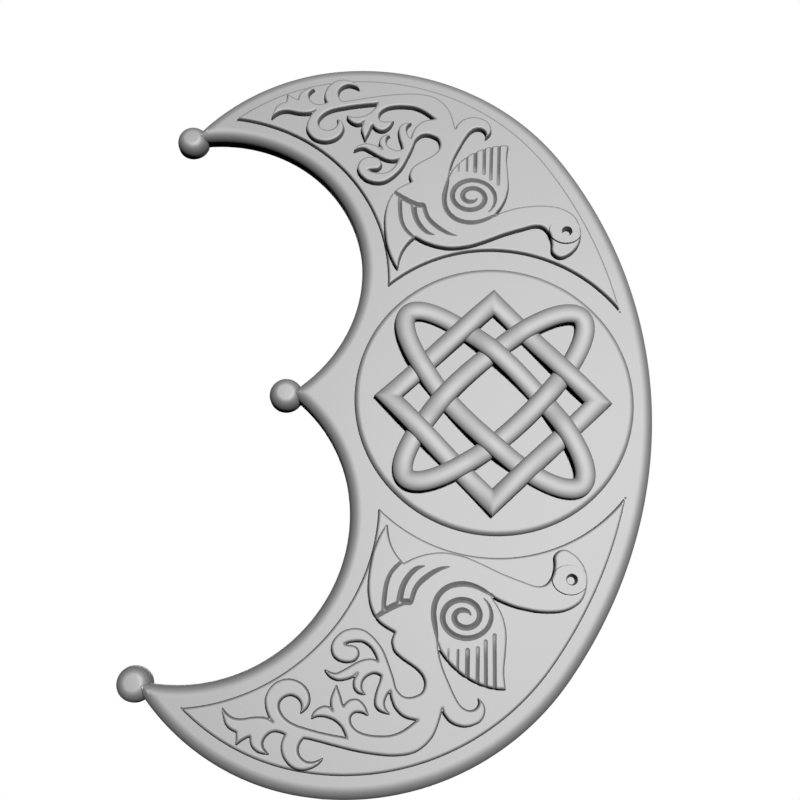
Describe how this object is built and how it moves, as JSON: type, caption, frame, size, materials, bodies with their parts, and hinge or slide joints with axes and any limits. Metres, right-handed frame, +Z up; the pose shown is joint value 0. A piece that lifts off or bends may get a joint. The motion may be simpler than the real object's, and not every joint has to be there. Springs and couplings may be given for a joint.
{
  "type": "carved crescent onlay",
  "caption": "Flat-backed carved crescent onlay with a woven knot medallion, a bird in scrolling vine on each horn and ball ends.",
  "frame": {"origin": "on the flat back, behind the centre of the medallion", "axes": "+Z up along the crescent's length, +Y out of the flat back into the surface it is fixed to, +X towards the broad side, away from the horn tips"},
  "size_m": [0.2012, 0.0154, 0.3022],
  "materials": {
    "primed_wood": "matte light grey primer on close-grained wood"
  },
  "bodies": {
    "root": {"crescent_onlay": "primed_wood"}
  },
  "joints": []
}
